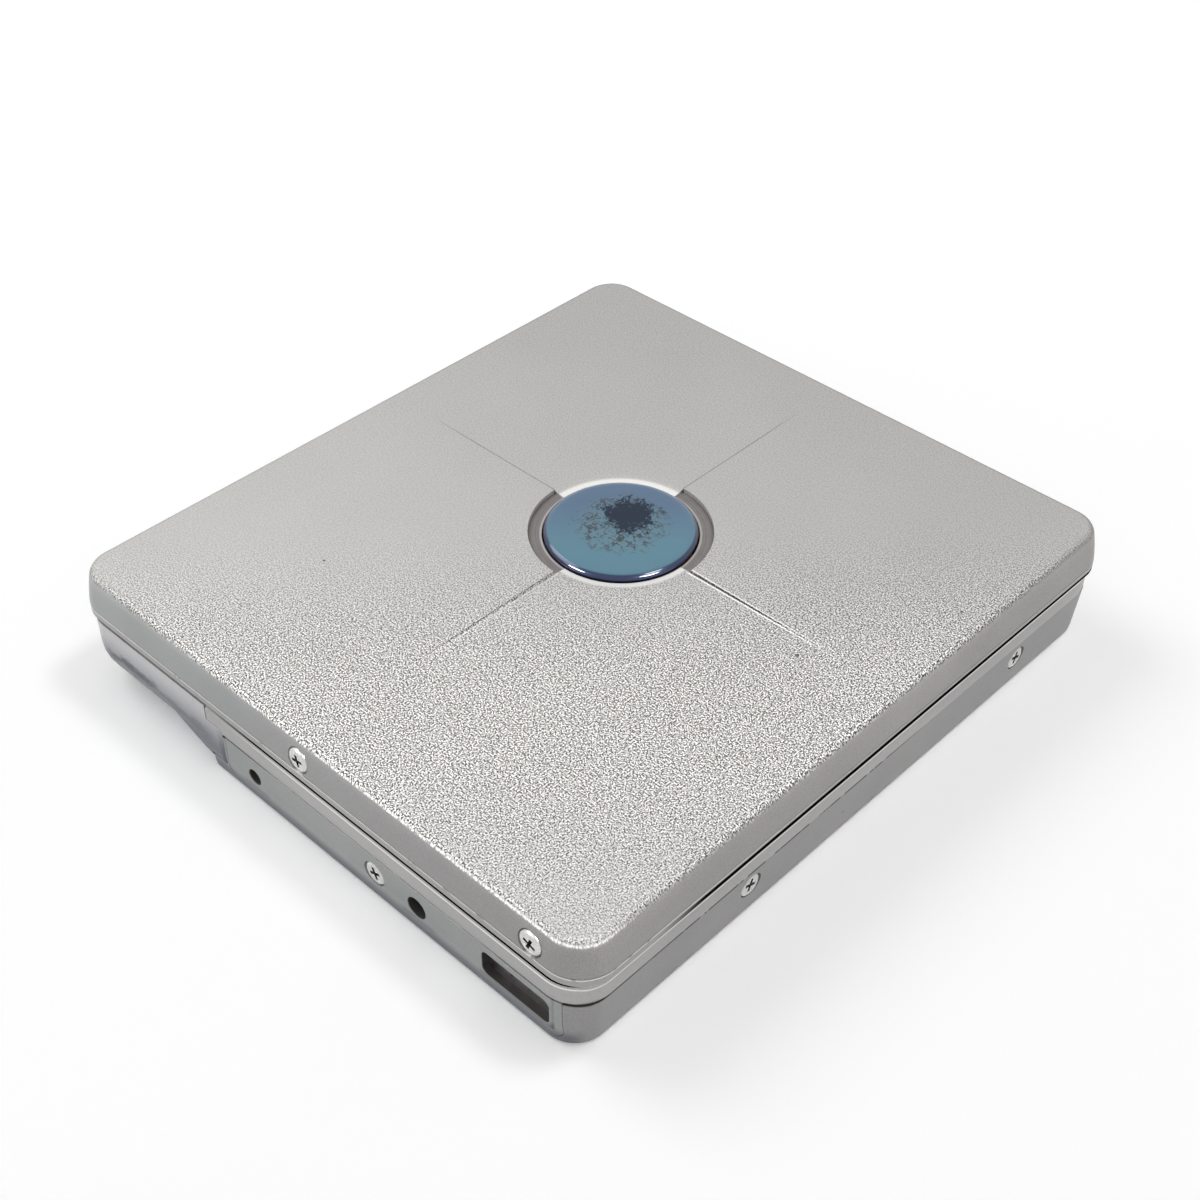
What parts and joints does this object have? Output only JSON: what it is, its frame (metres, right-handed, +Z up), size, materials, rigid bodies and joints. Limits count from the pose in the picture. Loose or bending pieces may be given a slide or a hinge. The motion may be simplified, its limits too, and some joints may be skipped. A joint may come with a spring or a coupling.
{
  "type": "portable minidisc player",
  "caption": "Thin square pocket disc player with a hinged silver lid, a round blue button, a disc holder that swings with the lid, and a battery door at one corner.",
  "frame": {"origin": "middle of the bottom face", "axes": "+X towards the side where the disc goes in, +Y towards the back, +Z up out of the lid"},
  "size_m": [0.0716, 0.0786, 0.0139],
  "materials": {
    "lid_silver": "fine blasted silver",
    "band_silver": "satin silver",
    "case_silver": "satin silver paint, lightly scuffed",
    "screw_steel": "bright nickel plate",
    "button_blue": "clear coated blue, worn through in the middle",
    "ring_grey": "satin grey",
    "plastic_black": "moulded black",
    "spring_steel": "bare sheet steel",
    "deck_black": "black coated sheet",
    "board_green": "solder mask",
    "flex_amber": "polyimide film",
    "contact_gold": "gold plated",
    "cell_steel": "bare steel can",
    "bush_rubber": "soft rubber",
    "coil_copper": "enamelled copper",
    "lens_glass": "coated lens"
  },
  "bodies": {
    "base": {"lower_case": "case_silver", "mid_frame": "band_silver", "front_panel": "case_silver", "panel_screw": "screw_steel", "case_screws": "screw_steel", "deck_plate": "deck_black", "main_board": "board_green", "board_chips": "plastic_black", "phones_jack": "plastic_black", "terminal_block": "plastic_black", "charge_contacts": "contact_gold", "battery_cell": "cell_steel", "battery_contact": "contact_gold", "door_pin": "spring_steel", "mechanism_chassis": "spring_steel", "damper_bushes": "bush_rubber", "chassis_screws": "screw_steel", "spindle_motor": "coil_copper", "guide_shafts": "spring_steel", "sled_motor": "spring_steel", "hinge_pins": "spring_steel", "hinge_springs": "spring_steel"},
    "lid": {"lid_frame": "band_silver", "lid_cover": "lid_silver", "lid_screws": "screw_steel", "button_bezel": "ring_grey", "switch_board": "flex_amber", "dome_switch": "spring_steel", "lid_flex": "flex_amber"},
    "button": {"button_cap": "button_blue", "button_carrier": "plastic_black"},
    "holder": {"disc_holder": "spring_steel", "holder_springs": "spring_steel"},
    "door": {"battery_door": "case_silver", "door_contact": "contact_gold"},
    "table": {"turntable": "spring_steel", "rotor_yoke": "spring_steel"},
    "pickup": {"pickup_sled": "band_silver"},
    "lens": {"lens_carrier": "plastic_black", "objective_lens": "lens_glass"},
    "screw": {"lead_screw": "spring_steel"},
    "open_knob": {"open_slider": "band_silver"},
    "hold_knob": {"hold_slider": "band_silver"}
  },
  "joints": [
    {"name": "lid_hinge", "type": "hinge", "parent": "base", "child": "lid", "pos_m": [-0.0346, 0, 0.0072], "axis": [0, -1, 0], "range_deg": [0, 28]},
    {"name": "holder_hinge", "type": "hinge", "parent": "base", "child": "holder", "pos_m": [-0.0346, 0, 0.0072], "axis": [0, -1, 0], "range_deg": [0, 14]},
    {"name": "button_press", "type": "slide", "parent": "lid", "child": "button", "axis": [0, 0, -1], "range_m": [0, 0.0003], "stiffness_N_per_m": 3000},
    {"name": "open_slide", "type": "slide", "parent": "base", "child": "open_knob", "axis": [1, 0, 0], "range_m": [0, 0.0025], "stiffness_N_per_m": 400},
    {"name": "hold_slide", "type": "slide", "parent": "base", "child": "hold_knob", "axis": [1, 0, 0], "range_m": [0, 0.002]},
    {"name": "battery_door_hinge", "type": "hinge", "parent": "base", "child": "door", "pos_m": [-0.0131, -0.03858, 0.004], "axis": [0, 0, 1], "range_deg": [0, 90]},
    {"name": "turntable_spin", "type": "hinge", "parent": "base", "child": "table", "pos_m": [0.0008, 0, 0.004], "axis": [0, 0, 1], "continuous": true},
    {"name": "pickup_slide", "type": "slide", "parent": "base", "child": "pickup", "axis": [0, -1, 0], "range_m": [0, 0.015]},
    {"name": "lead_screw_turn", "type": "hinge", "parent": "base", "child": "screw", "pos_m": [0.013, -0.025, 0.0039], "axis": [0, 1, 0], "range_deg": [0, 1800]},
    {"name": "lens_focus", "type": "slide", "parent": "pickup", "child": "lens", "axis": [0, 0, 1], "range_m": [-0.0001, 0.0002], "stiffness_N_per_m": 60}
  ],
  "couplings": [
    {"joint": "holder_hinge", "follows": "lid_hinge", "ratio": 0.5},
    {"joint": "lead_screw_turn", "follows": "pickup_slide", "rad_per_m": 2094.4}
  ]
}
